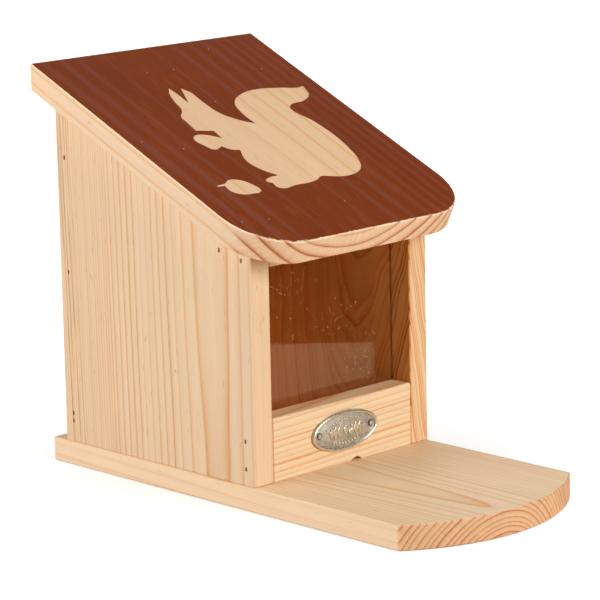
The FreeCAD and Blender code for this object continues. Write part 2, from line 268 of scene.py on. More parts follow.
def shader_group(name, inputs, outputs):
    """A new node group with the named sockets, its wiring, and its two ends."""
    group = bpy.data.node_groups.new(name, "ShaderNodeTree")
    for label, kind, value in inputs:
        socket = group.interface.new_socket(label, in_out="INPUT", socket_type="NodeSocket" + kind)
        if value is not None:
            socket.default_value = (*value, 1.0) if kind == "Color" else value
    for label, kind in outputs:
        group.interface.new_socket(label, in_out="OUTPUT", socket_type="NodeSocket" + kind)
    wiring = Wiring(group)
    start = wiring.node("NodeGroupInput")
    end = wiring.node("NodeGroupOutput")
    return group, wiring, start.outputs, end.inputs


def pine_group():
    """Growth rings, fibres and resin specks of softwood round a trunk line on Z."""
    found = bpy.data.node_groups.get("pine_grain")
    if found:
        return found
    inputs = [
        ("Vector", "Vector", None),
        ("Normal", "Vector", None),
        ("Trunk", "Vector", (0.0, 0.0, 1.0)),
        ("Inner Ring", "Float", 0.004),
        ("Outer Ring", "Float", 0.002),
        ("Turning Point", "Float", 0.07),
        ("Line Width", "Float", 0.0007),
        ("Waver", "Float", 0.001),
        ("Ripple", "Float", 0.0),
        ("Unevenness", "Float", 0.8),
        ("Face Lines", "Float", 0.6),
        ("End Lines", "Float", 0.9),
        ("Seed", "Float", 0.0),
        ("Early Color", "Color", (0.8, 0.5, 0.3)),
        ("Late Color", "Color", (0.7, 0.4, 0.2)),
        ("End Early Color", "Color", (0.8, 0.5, 0.3)),
        ("End Late Color", "Color", (0.5, 0.2, 0.1)),
    ]
    outputs = [("Color", "Color"), ("Rings", "Float"), ("Roughness", "Float"), ("Height", "Float")]
    group, w, given, out = shader_group("pine_grain", inputs, outputs)

    # the trunk wanders a little along its length
    place = given["Vector"]
    seed = given["Seed"]
    offset = w.stretch(w.join(seed, seed, seed), 0.13, 0.29, 0.17)

    def own(x, y, z):
        """A stretched space that differs from board to board."""
        return w.vector("ADD", w.stretch(place, x, y, z), offset)

    def sway(space, detail):
        """A slow swing to all sides."""
        return w.vector("SUBTRACT", w.noise(space, 1.0, detail, 0.5, "Color"), (0.5, 0.5, 0.5))

    drift = sway(own(22.0, 22.0, 8.0), 1.0)
    shiver = sway(own(110.0, 110.0, 26.0), 1.0)
    curl = sway(own(30.0, 30.0, 60.0), 0.0)
    moved = w.vector("ADD", place, w.scaled(drift, w.times(given["Waver"], 3.0)))
    moved = w.vector("ADD", moved, w.scaled(shiver, w.times(given["Waver"], 0.45)))
    moved = w.vector("ADD", moved, w.scaled(curl, given["Ripple"]))
    x, y, _ = w.split(moved)
    radius = w.math("SQRT", w.plus(w.times(x, x), w.times(y, y)))

    # a trunk grows wide rings while it is young and narrow ones later
    young = w.math("DIVIDE", w.math("MINIMUM", radius, given["Turning Point"]), given["Inner Ring"])
    later = w.math("MAXIMUM", w.math("SUBTRACT", radius, given["Turning Point"]), 0.0)
    count = w.plus(young, w.math("DIVIDE", later, given["Outer Ring"]))
    short = w.math("SINE", w.plus(w.times(count, 1.9), seed))
    long = w.math("SINE", w.times(w.plus(w.times(count, 0.415), seed), 2.0))
    uneven = w.plus(w.times(short, 0.5), w.times(long, 0.35))
    count = w.plus(count, w.times(uneven, given["Unevenness"]))
    phase = w.math("FRACT", count)
    ring = w.math("FLOOR", count)
    old = w.math("GREATER_THAN", radius, given["Turning Point"])
    spacing = w.span(old, 0.0, 1.0, given["Inner Ring"], given["Outer Ring"])

    # how much of the surface is a cut end, where the lines stand out wider
    facing = w.math("ABSOLUTE", w.vector("DOT_PRODUCT", given["Normal"], given["Trunk"]))
    end = w.span(facing, 0.25, 0.55, soft=True)
    width = w.times(given["Line Width"], w.plus(w.times(end, 0.6), 1.0))
    width = w.math("MINIMUM", width, w.times(spacing, 0.3))
    before = w.times(w.math("SUBTRACT", 1.0, phase), spacing)
    after = w.times(phase, spacing)
    rise = w.math("EXPONENT", w.times(w.math("DIVIDE", before, width), -1.0))
    fall = w.math("EXPONENT", w.times(w.math("DIVIDE", after, width), -2.5))
    line = w.math("MAXIMUM", rise, fall)
    mood = w.span(w.chance(w.plus(ring, seed)), 0.15, 0.9, 0.2, 1.1)
    mood = w.times(mood, w.span(w.noise(own(60.0, 60.0, 7.0)), 0.25, 0.75, 0.6, 1.15))
    line = w.times(line, mood)

    # fibres along the trunk, and fine rays across it on a cut end
    fibre = w.noise(w.stretch(place, 1500.0, 1500.0, 28.0), 1.0, 2.0, 0.6)
    streak = w.noise(own(260.0, 260.0, 7.0))
    cloud = w.noise(own(30.0, 30.0, 12.0))
    turn = w.math("ARCTAN2", y, x)
    ray = w.noise(w.join(w.times(turn, 60.0), w.times(radius, 60.0), 0.0), 1.0, 1.0, 0.5)
    pore = w.noise(w.stretch(place, 900.0, 900.0, 150.0), 1.0, 1.0, 0.5)
    cells = w.cells(w.stretch(place, 90.0, 90.0, 55.0))
    rare = w.math("GREATER_THAN", w.split(cells["Color"])[0], 0.82)
    bud = w.times(w.span(cells["Distance"], 0.03, 0.06, 1.0, 0.0), rare)
    speck = w.math("MAXIMUM", w.span(pore, 0.70, 0.76), w.times(bud, 1.4))

    ramp = w.plus(line, w.times(w.math("POWER", phase, 2.0), 0.10))
    face_amount = w.math("MULTIPLY", ramp, given["Face Lines"], clamp=True)
    end_amount = w.math("MULTIPLY", ramp, given["End Lines"], clamp=True)
    face = w.blend(face_amount, given["Early Color"], given["Late Color"])
    cut = w.blend(end_amount, given["End Early Color"], given["End Late Color"])
    colour = w.blend(end, face, cut)
    shade = w.span(fibre, 0.3, 0.7, 0.965, 1.03)
    shade = w.times(shade, w.span(streak, 0.25, 0.75, 0.965, 1.03))
    shade = w.times(shade, w.span(cloud, 0.25, 0.75, 0.975, 1.025))
    ray_shade = w.span(ray, 0.3, 0.7, 0.93, 1.05)
    shade = w.times(shade, w.plus(w.times(end, w.math("SUBTRACT", ray_shade, 1.0)), 1.0))
    dark_speck = w.math("MULTIPLY", speck, 0.35, clamp=True)
    w.put(out["Color"], w.blend(dark_speck, w.scaled(colour, shade), given["Late Color"], "MULTIPLY"))
    w.put(out["Rings"], line)
    w.put(out["Roughness"], w.span(fibre, 0.2, 0.8, 0.52, 0.66))
    w.put(out["Height"], w.plus(w.times(line, 0.15), w.times(fibre, 0.5)))
    return group


def new_material(name):
    material = bpy.data.materials.new(name)
    material.use_nodes = True
    material.node_tree.nodes.clear()
    wiring = Wiring(material.node_tree)
    surface = wiring.node("ShaderNodeBsdfPrincipled")
    output = wiring.node("ShaderNodeOutputMaterial")
    wiring.put(output.inputs["Surface"], surface.outputs["BSDF"])
    return material, wiring, surface, output


# Each board's place in its trunk, in metres: a point of the heart line and its
# direction, then how the rings run there. tint, late and cut colour the early
# wood, the lines and the end grain. edge gives the axis of the board's edge
# faces, the tint there and the share of the lines that is left. On the base's
# sides the edge tint is a painted paler light from the floor's bounce, and on
# the front board's top it is a painted warm bounce light in the sill's shade.
BOARD_GRAIN = {
    "left_side": dict(
        heart=(-0.0279, 0.0100, 0.07), trunk=(-0.012, 0.018, 1.0), inner=0.00363, outer=0.00168,
        turning=0.0772, line=0.00040, waver=0.0006, uneven=0.035, face=1.0, end=0.85, seed=1068.5,
        tint=(0.985, 0.95, 0.96), edge=(1, (1.0, 0.93, 0.86), 0.25),
    ),
    "right_side": dict(
        heart=(0.103, 0.020, 0.08), trunk=(-0.10, -0.07, 1.0), inner=0.0014, outer=0.0014, turning=0.2,
        line=0.0006, waver=0.0022, ripple=0.0017, uneven=0.5, face=2.3, end=0.85, seed=11.0,
        tint=(1.0, 0.975, 0.89), late=(1.07, 0.86, 1.05), edge=(0, (1.0, 1.0, 1.0), 0.45),
    ),
    "back_panel": dict(
        heart=(0.01, 0.16, 0.09), trunk=(0.01, 0.0, 1.0), inner=0.0045, outer=0.0030, turning=0.06,
        line=0.0008, waver=0.0014, uneven=0.6, face=0.9, end=0.85, seed=17.0, tint=(0.99, 0.97, 0.93),
    ),
    "front_board": dict(
        heart=(0.0, 0.004, 0.1353), trunk=(1.0, 0.0, 0.028), inner=0.00282, outer=0.00282, turning=0.2,
        line=0.0005, waver=0.0004, uneven=0.278, face=1.15, end=0.3, seed=333.0, tint=(1.01, 1.0, 0.93),
        # edge: painted warm bounce light on the board's shaded top
        late=(1.08, 0.86, 1.15), edge=(2, (1.16, 1.08, 1.0), 1.0),
    ),
    "top_rail": dict(
        heart=(0.0, 0.03, 0.07), trunk=(1.0, 0.02, 0.0), inner=0.0040, outer=0.0030, turning=0.09,
        line=0.0008, waver=0.0012, uneven=0.6, face=0.9, end=0.9, seed=31.0, tint=(0.99, 0.97, 0.93),
    ),
    "base_board": dict(
        heart=(-0.0100, -0.120, -0.02084), trunk=(0.0, 1.0, 0.0250), inner=0.0025, outer=0.0019,
        turning=0.055, line=0.00025, waver=0.0006, uneven=0.3, face=0.85, end=1.1, seed=12037.0,
        # edge: painted paler light on the base's sides, from the floor's bounce
        tint=(1.04, 0.99, 0.95), edge=(0, (1.06, 1.08, 1.14), 0.4),
    ),
    "roof_lid": dict(
        heart=tuple(EAVE + OUTWARD * 0.057 + Vector((-0.014, 0.0, 0.0))), trunk=tuple(UPHILL),
        inner=0.0065, outer=0.0051, turning=0.080, line=0.00052, waver=0.0010, uneven=0.1, face=0.7,
        end=1.15, seed=30146.0,
        tint=(1.04, 0.975, 0.95), cut=(1.10, 1.22, 1.42), edge=(0, (1.02, 1.03, 1.08), 1.1),
    ),
}


def trunk_turn(direction):
    """The turn that lays Z along a trunk, as Euler angles."""
    return Vector(direction).normalized().to_track_quat("Z", "Y").to_euler()


def grain_nodes(wiring, grain, timber):
    """Adds the mapped grain group to a material and returns its outputs."""
    place = wiring.node("ShaderNodeTexCoord")
    mapping = wiring.node("ShaderNodeMapping", {"Vector": place.outputs["Object"]}, vector_type="TEXTURE")
    mapping.inputs["Location"].default_value = grain["heart"]
    mapping.inputs["Rotation"].default_value = trunk_turn(grain["trunk"])
    made = wiring.node("ShaderNodeGroup", node_tree=pine_group())
    tint = grain["tint"]
    face = grain["face"]
    if "edge" in grain:
        axis, _, kept = grain["edge"]
        sideways = wiring.math("ABSOLUTE", wiring.split(place.outputs["Normal"])[axis])
        face = wiring.span(sideways, 0.7, 0.9, face, face * kept)
    values = {
        "Vector": mapping.outputs["Vector"],
        "Normal": place.outputs["Normal"],
        "Trunk": tuple(Vector(grain["trunk"]).normalized()),
        "Inner Ring": grain["inner"],
        "Outer Ring": grain["outer"],
        "Turning Point": grain["turning"],
        "Line Width": grain["line"],
        "Waver": grain["waver"],
        "Ripple": grain.get("ripple", 0.0),
        "Unevenness": grain["uneven"],
        "Face Lines": face,
        "End Lines": grain["end"],
        "Seed": grain["seed"],
        "Early Color": tinted(timber.early_wood, tint),
        "Late Color": tinted(timber.late_wood, grain.get("late", tint)),
        "End Early Color": tinted(timber.end_early, grain.get("cut", (1.0, 1.0, 1.0))),
        "End Late Color": tuple(timber.end_late),
    }
    for name, value in values.items():
        wiring.put(made.inputs[name], value)
    return made.outputs


def inside_shade_group():
    """Painted warm shade on wood that faces into the box, where the light is warm and the rings read dark.
    """
    found = bpy.data.node_groups.get("inside_box")
    if found:
        return found
    inputs = [
        ("Vector", "Vector", None),
        ("Normal", "Vector", None),
        ("Color", "Color", (0.8, 0.5, 0.3)),
        ("Rings", "Float", 0.0),
        ("Glow", "Color", (1.0, 0.8, 0.5)),
    ]
    group, w, given, out = shader_group("inside_box", inputs, [("Color", "Color")])
    x, y, _ = w.split(given["Vector"])
    normal = w.split(given["Normal"])
    across = w.math("LESS_THAN", w.math("ABSOLUTE", x), STORE_HALF)
    back = w.math("LESS_THAN", y, BACK_FRONT + 0.0005)
    sideways = w.math("MAXIMUM", w.math("ABSOLUTE", normal[0]), w.math("ABSOLUTE", normal[1]))
    inside = w.times(w.times(across, back), w.math("GREATER_THAN", sideways, 0.5))
    # in the painted shade the rings are clearest in front of the pane
    shown = w.times(given["Rings"], w.span(y, PANE_FRONT - 0.0002, PANE_FRONT + 0.0002, 1.0, 0.2))
    deep = w.blend(shown, given["Glow"], w.scaled(given["Glow"], 0.28))
    w.put(out["Color"], w.blend(inside, given["Color"], w.blend(1.0, given["Color"], deep, "MULTIPLY")))
    return group


# Dark streaks on a side in metres: place from the front, half width, strength.
DARK_STREAKS = ((0.1120, 0.0003, 0.55), (0.1098, 0.0003, 0.6), (0.1073, 0.0003, 0.5), (0.1040, 0.0003, 0.3))


def dark_streaks(w, colour, shade):
    """Narrow grey-brown streaks that lean along the back edge of a side."""
    place = w.node("ShaderNodeTexCoord").outputs
    _, y, z = w.split(place["Object"])
    flat = w.span(w.math("ABSOLUTE", w.split(place["Normal"])[0]), 0.6, 0.8)
    wander = w.times(w.math("SUBTRACT", w.noise_line(w.times(z, 18.0)), 0.5), 0.0010)
    across = w.plus(w.plus(y, w.times(z, -0.030)), wander)
    for middle, half, depth in DARK_STREAKS:
        away = w.math("ABSOLUTE", w.math("SUBTRACT", across, middle))
        broken = w.span(w.noise_line(w.plus(w.times(z, 20.0), middle * 900.0)), 0.30, 0.55)
        amount = w.times(w.times(w.span(away, half * 0.3, half * 1.8, depth, 0.0), broken), flat)
        colour = w.blend(amount, colour, shade)
    return colour


def board_material(name, timber):
    material, w, surface, _ = new_material("pine_" + name)
    grain = grain_nodes(w, BOARD_GRAIN[name], timber)
    colour = grain["Color"]
    if name in ("left_side", "right_side", "back_panel"):
        # paint warm shade on the faces inside the box
        place = w.node("ShaderNodeTexCoord").outputs
        inputs = {
            "Vector": place["Object"],
            "Normal": place["Normal"],
            "Color": colour,
            "Rings": grain["Rings"],
            "Glow": tuple(channel * 1.12 for channel in timber.inside),
        }
        colour = w.node("ShaderNodeGroup", inputs, node_tree=inside_shade_group()).outputs["Color"]
    if "edge" in BOARD_GRAIN[name]:
        axis, change, _ = BOARD_GRAIN[name]["edge"]
        sideways = w.math("ABSOLUTE", w.split(w.here("Normal"))[axis])
        # on the base and the front board this edge tint is painted light
        edge_tint_and_light = w.blend(1.0, colour, change, "MULTIPLY")
        colour = w.blend(w.span(sideways, 0.7, 0.9), colour, edge_tint_and_light)
    if name == "roof_lid":
        upward = w.vector("DOT_PRODUCT", w.here("Normal"), tuple(OUTWARD))
        oiled = w.blend(1.0, colour, tuple(timber.oiled), "MULTIPLY")
        colour = w.blend(w.span(upward, 0.8, 0.95), colour, oiled)
        # the arris is bare sanded wood along the paint, and it is also painted brighter as a highlight where
        # it catches the light
        arris = w.times(w.span(upward, 0.55, 0.65), w.span(upward, 0.8, 0.9, 1.0, 0.0))
        sanded_and_highlit = w.blend(1.0, colour, (1.08, 1.16, 1.26), "MULTIPLY")
        colour = w.blend(arris, colour, sanded_and_highlit)
    if name == "left_side":
        colour = dark_streaks(w, colour, tuple(timber.streak))
    w.feed(surface, {
        "Base Color": colour,
        "Roughness": grain["Roughness"],
        "Specular IOR Level": 0.3,
        "Normal": w.bump(grain["Height"], 0.35, timber.ring_depth),
    })
    return material


def finish(node, material):
    """Gives a carried-over solid its material."""
    coat(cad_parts[node], material)


# ------------------------------------------------------------ mesh by hand
def start_fresh():
    """Leaves edit mode and deselects everything."""
    if bpy.context.object and bpy.context.object.mode != "OBJECT":
        bpy.ops.object.mode_set(mode="OBJECT")
    bpy.ops.object.select_all(action="DESELECT")


def take(obj):
    """Makes one object the selected and active one."""
    start_fresh()
    obj.select_set(True)
    bpy.context.view_layer.objects.active = obj


def edit(obj, kind="FACE"):
    take(obj)
    bpy.ops.object.mode_set(mode="EDIT")
    bpy.ops.mesh.select_mode(type=kind)
    bpy.ops.mesh.select_all(action="DESELECT")


def bake_place(obj):
    """Puts an object's place, turn and size into its mesh."""
    take(obj)
    bpy.ops.object.transform_apply(location=True, rotation=True, scale=True)


def stand_up(obj, x, y, z):
    """Stands a flat drawing upright, facing the front, with its middle at a place."""
    obj.matrix_world = Matrix.Translation((x, y, z)) @ Matrix.Rotation(math.pi / 2.0, 4, "X")
    bake_place(obj)


def coat(obj, material):
    """Gives a piece one material."""
    obj.data.materials.clear()
    obj.data.materials.append(material)


def metres(drawing, side=1.0):
    """A drawing's points from millimetres to metres, mirrored if side is -1."""
    return [(side * x / 1000.0, y / 1000.0, *(kind or ["smooth"])) for x, y, *kind in drawing]


def flat_curve(name, splines):
    """A filled flat curve from splines of (x, y, kind) points in metres."""
    curve = bpy.data.curves.new(name, "CURVE")
    curve.dimensions = "2D"
    curve.fill_mode = "BOTH"
    curve.resolution_u = 10
    for points in splines:
        if points[0][2] == "poly":
            spline = curve.splines.new("POLY")
            spline.points.add(len(points) - 1)
            for point, (x, y, _) in zip(spline.points, points):
                point.co = (x, y, 0.0, 1.0)
        else:
            spline = curve.splines.new("BEZIER")
            spline.bezier_points.add(len(points) - 1)
            for point, (x, y, kind) in zip(spline.bezier_points, points):
                point.co = (x, y, 0.0)
                handle = "VECTOR" if kind == "corner" else "AUTO"
                point.handle_left_type = handle
                point.handle_right_type = handle
        spline.use_cyclic_u = True
    obj = bpy.data.objects.new(name, curve)
    bpy.context.scene.collection.objects.link(obj)
    return obj


def as_mesh(obj):
    take(obj)
    bpy.ops.object.convert(target="MESH")
    return bpy.context.view_layer.objects.active


def face_out(obj):
    """Welds doubled points and turns every face outwards."""
    edit(obj, "VERT")
    bpy.ops.mesh.select_all(action="SELECT")
    bpy.ops.mesh.remove_doubles(threshold=1e-6)
    bpy.ops.mesh.normals_make_consistent(inside=False)
    bpy.ops.object.mode_set(mode="OBJECT")


# ------------------------------------------------------------- roof drawing
# Points are millimetres on the roof's top face: across from its middle, and
# up the slope from the eave. The line runs smoothly but for the corners.
SQUIRREL = [
    (-15.2, 135.4, "corner"), (-14.6, 128), (-14.7, 120.9, "corner"), (-8.7, 134, "corner"),
    (-5.9, 128.8, "corner"), (-6, 119), (-4.8, 109), (0.5, 101), (7.4, 95.4, "corner"), (7.4, 105),
    (10.6, 114.4), (21, 121.2), (34, 123.2), (48, 121.4), (58.4, 119.2), (62.5, 119.8, "corner"),
    (59.6, 112), (52, 107.4), (40.5, 105.2), (38.2, 102.2), (41.8, 90), (43.4, 76.7), (42.2, 64),
    (38.4, 51.6), (33, 45), (26, 42.2), (17.5, 42), (10.5, 44), (6.6, 45.1), (1, 42.8), (-13, 42),
    (-24.4, 42.6), (-24.4, 46.8, "corner"), (-26.6, 48.8), (-23.4, 51.2), (-16.6, 52, "corner"),
    (-21.6, 59), (-23.4, 67), (-19.4, 76.4, "corner"), (-24, 78), (-26.8, 81.6, "corner"),
    (-33, 80.2), (-35.6, 84.6), (-37, 90.2), (-33.8, 93.6), (-27.5, 93), (-21, 88.4, "corner"),
    (-20.6, 94.7, "corner"), (-30, 97.3, "corner"), (-29.2, 105.6), (-28.8, 109.6), (-23.6, 115.6),
    (-21.6, 123.4), (-19, 130.4),
]
ACORN = [
    (-35.2, 43), (-36, 49), (-39.8, 53.7), (-45, 55.3), (-49.6, 53.2), (-55.4, 52.6, "corner"),
    (-55.5, 51.5, "corner"), (-51.4, 51.2, "corner"), (-51.6, 46.5), (-48.4, 43), (-41.5, 41.6),
]

# The sprig's drawing in millimetres from the plaque's middle: across, then up.
OAK_LEAF = [
    (1.9, -1.0), (3.6, 0.5), (4.1, 2.4), (5.5, 1.0), (6.9, 3.2), (8.2, 1.3), (9.9, 2.8),
    (10.4, 1.1), (12.9, 1.1), (10.6, -0.2), (10.1, -2.2), (8.2, -0.7), (7.2, -3.0), (5.7, -1.0),
    (4.2, -2.6),
]
ACORN_NUT = [
    (-0.25, 2.9), (0.25, 2.9), (0.3, 2.0, "corner"), (1.5, 1.1), (1.3, 0.4, "corner"), (1.1, -0.8),
    (0.0, -2.5, "corner"), (-1.1, -0.8), (-1.3, 0.4, "corner"), (-1.5, 1.1), (-0.3, 2.0, "corner"),
]

# The plaque's steps in metres, inward and upward: one broad rolled rim, a
# groove inside it, then the field.
RIM_STEPS = (
    (0.00010, 0.00035), (0.00020, 0.00026), (0.00030, 0.00016), (0.00035, 0.00004),
    (0.00035, -0.00008), (0.00028, -0.00022), (0.00018, -0.00034), (0.00012, -0.00020),
    (0.00020, 0.0), (0.00025, 0.00010),
)
# Rows of beads: side, count, reach across and a bead's radius in metres.
BEAD_ROWS = ((1.0, 10, 0.0086, 0.00052), (-1.0, 9, 0.0082, 0.00062))

# Patches of dust on the pane in metres: middle across, middle height, spread
# across, spread up.
DUST_PATCHES = ((-0.025, 0.102, 0.009, 0.005), (0.008, 0.079, 0.016, 0.007), (0.023, 0.060, 0.007, 0.010))
DUST_REACH = 0.046          # how far dust lies from the middle
DUST_LOW, DUST_HIGH = 0.044, 0.113
DUST_SMALL = 0.00010        # the smallest grain's half width
DUST_GROWTH = 0.00015       # what the largest grain has on top
DUST_APART = 0.0008         # least distance from grain to grain
# A grain's corners: turn in radians, and stretch across.
FLAKE_CORNERS = ((0.0, 1.6), (1.3, 1.0), (2.6, 1.3), (3.9, 1.0), (5.2, 1.2))


def roof_outline(ragged):
    """The coat's edge, just inside the arris, ragged where the brush met end grain."""
    rough = random.Random(7)
    inset = ARRIS + 0.00008
    half = ROOF_HALF - inset
    radius = CORNER_RADIUS - inset
    low = inset
    high = ROOF_LENGTH - inset - 0.0004
    step = 0.0007
    steady = 0.00005
    points = []

    def run(start, stop, wander):
        count = max(2, int((stop - start).length / step))
        inward = Vector((-(stop - start).y, (stop - start).x)).normalized()
        for index in range(count):
            place = start.lerp(stop, index / count)
            points.append(place + inward * wander * rough.random() ** 2)

    def bend(centre, from_angle, to_angle, wander):
        # chips run up the slope, with the fibres
        count = int(abs(to_angle - from_angle) * radius / step)
        for index in range(count):
            angle = from_angle + (to_angle - from_angle) * index / count
            chip = Vector((0.0, wander * rough.random() ** 2))
            points.append(centre + Vector((math.cos(angle), math.sin(angle))) * radius + chip)

    corner_low = low + radius
    run(Vector((half, high)), Vector((-half, high)), steady)
    run(Vector((-half, high)), Vector((-half, corner_low)), ragged * 0.12)
    bend(Vector((-half + radius, corner_low)), math.pi, 1.5 * math.pi, ragged)
    run(Vector((-half + radius, low)), Vector((half - radius, low)), ragged * 0.3)
    bend(Vector((half - radius, corner_low)), 1.5 * math.pi, 2.0 * math.pi, ragged * 0.4)
    run(Vector((half, corner_low)), Vector((half, high)), steady)
    return [(point.x, point.y, "poly") for point in points]


def on_roof(height):
    """The placement that lays a flat drawing on the roof's top face."""
    turn = Matrix((Vector((1.0, 0.0, 0.0)), UPHILL, OUTWARD)).transposed().to_4x4()
    return Matrix.Translation(EAVE + OUTWARD * height) @ turn


def paint_material(settings):
    material, w, surface, _ = new_material("roof_paint")
    # hard rings show through the paint as broad dull bands
    grain = grain_nodes(w, dict(BOARD_GRAIN["roof_lid"], line=0.0016), settings.timber)
    place = w.here()
    turned = w.node("ShaderNodeMapping", {"Vector": place}, vector_type="TEXTURE")
    turned.inputs["Rotation"].default_value = trunk_turn(UPHILL)
    flow = turned.outputs["Vector"]
    streak = w.noise(w.stretch(flow, 900.0, 900.0, 12.0), 1.0, 2.0, 0.5)
    band = w.times(w.span(grain["Rings"], 0.20, 0.42), w.span(streak, 0.35, 0.60, 0.45, 1.15))
    colour = w.blend(band, tuple(settings.paint.paint), tuple(settings.paint.band))
    fibre = w.noise(w.stretch(flow, 1300.0, 1300.0, 60.0), 1.0, 2.0, 0.6)
    fleck = w.times(w.span(fibre, 0.58, 0.72), w.span(band, 0.0, 1.0, 0.6, 0.2))
    colour = w.blend(fleck, colour, tuple(settings.paint.fleck))
    pit = w.times(w.span(fibre, 0.42, 0.28), 0.5)
    colour = w.blend(pit, colour, dimmed(settings.paint.paint, 0.55))
    across, _, along = w.split(flow)
    cells = w.cells(w.join(across, along, 0.0), 60.0, voronoi_dimensions="2D")
    rare = w.math("GREATER_THAN", w.split(cells["Color"])[0], 0.84)
    chip = w.times(w.span(cells["Distance"], 0.010, 0.022, 0.8, 0.0), rare)
    colour = w.blend(chip, colour, tuple(settings.timber.early_wood))
    cloud = w.noise(w.stretch(flow, 45.0, 45.0, 14.0), 1.0, 3.0, 0.5)
    height = w.plus(w.times(fibre, 0.6), w.times(grain["Rings"], 0.3))
    w.feed(surface, {
        "Base Color": w.scaled(colour, w.span(cloud, 0.3, 0.7, 0.93, 1.06)),
        "Roughness": w.span(fibre, 0.3, 0.7, 0.50, 0.62),
        "Specular IOR Level": 0.08,
        "Normal": w.bump(height, 0.4, 0.00008),
    })
    return material


# ------------------------------------------------------------------ operators
class FEEDER_OT_boards(bpy.types.Operator):
    """Gives each board its own cut of pine"""

    bl_idname = "feeder.boards"
    bl_label = "Boards"

    def execute(self, context):
        timber = context.scene.feeder.timber
        for name in BOARD_GRAIN:
            finish(name, board_material(name, timber))
        return {"FINISHED"}


class FEEDER_OT_roof_paint(bpy.types.Operator):
    """Lays the coat of paint on the roof, with the squirrel and the acorn left bare"""

    bl_idname = "feeder.roof_paint"
    bl_label = "Roof paint"

    def execute(self, context):
        settings = context.scene.feeder
        outline = roof_outline(settings.paint.ragged)
        film = as_mesh(flat_curve("roof_paint", [outline, metres(SQUIRREL), metres(ACORN)]))
        film.name = "roof_paint"
        face_out(film)
        thick = film.modifiers.new("Thickness", "SOLIDIFY")
        thick.thickness = settings.paint.film
        thick.offset = 1.0
        take(film)
        bpy.ops.object.modifier_apply(modifier=thick.name)
        film.matrix_world = on_roof(SKIN_GAP)
        bake_place(film)
        coat(film, paint_material(settings))
        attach(film, "lid")
        return {"FINISHED"}


class FEEDER_OT_window(bpy.types.Operator):
    """Makes the pane clear and lays dust on it"""

    bl_idname = "feeder.window"
    bl_label = "Window"

    def execute(self, context):
        settings = context.scene.feeder.window
        material, w, surface, output = new_material("clear_pane")
        place = w.here()
        # painted shade: the sheet is tinted dark brown where it runs into its grooves, standing in for their
        # shadow
        rim = w.span(w.math("ABSOLUTE", w.split(place)[0]), PANE_HALF - 0.0010, PANE_HALF)
        haze = w.noise(w.stretch(place, 60.0, 60.0, 60.0), 1.0, 4.0, 0.6)
        w.feed(surface, {
            "Base Color": w.blend(rim, tuple(settings.tint), (0.78, 0.58, 0.42)),
            "Roughness": w.span(haze, 0.55, 0.8, 0.0, 0.06),
            "Transmission Weight": 1.0,
            "IOR": ACRYLIC_IOR,
        })
        clear = w.node("ShaderNodeBsdfTransparent", {"Color": (0.95, 0.95, 0.94)}).outputs["BSDF"]
        path = w.node("ShaderNodeLightPath").outputs
        bypass = w.math("MAXIMUM", path["Is Shadow Ray"], path["Is Diffuse Ray"])
        w.put(output.inputs["Surface"], w.mix_shaders(bypass, surface.outputs["BSDF"], clear))
        finish("window_pane", material)

        # sawdust clings in loose patches
        rough = random.Random(19)
        lain = []
        flakes = []
        for across, up, wide, tall in DUST_PATCHES:
            for _ in range(settings.grains):
                x = max(-DUST_REACH, min(DUST_REACH, rough.gauss(across, wide)))
                z = max(DUST_LOW, min(DUST_HIGH, rough.gauss(up, tall)))
                size = DUST_SMALL + DUST_GROWTH * rough.random() ** 3
                turn = rough.random() * math.pi
                if all(math.hypot(x - other[0], z - other[1]) > DUST_APART for other in lain):
                    lain.append((x, z))
                    flake = []
                    for corner, longer in FLAKE_CORNERS:
                        off = size * math.cos(turn + corner) * longer
                        flake.append((x + off, z + size * math.sin(turn + corner), "poly"))
                    flakes.append(flake)
        dust = as_mesh(flat_curve("window_dust", flakes))
        dust.name = "window_dust"
        stand_up(dust, 0.0, PANE_FRONT - SKIN_GAP, 0.0)
        powder, w, surface, _ = new_material("window_dust")
        speck = w.noise(w.scaled(w.here(), 400.0))
        pale = tuple(settings.dust)
        w.feed(surface, {"Base Color": w.blend(speck, pale, dimmed(pale, 0.6)), "Roughness": 0.9})
        coat(dust, powder)
        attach(dust, "box")
        return {"FINISHED"}


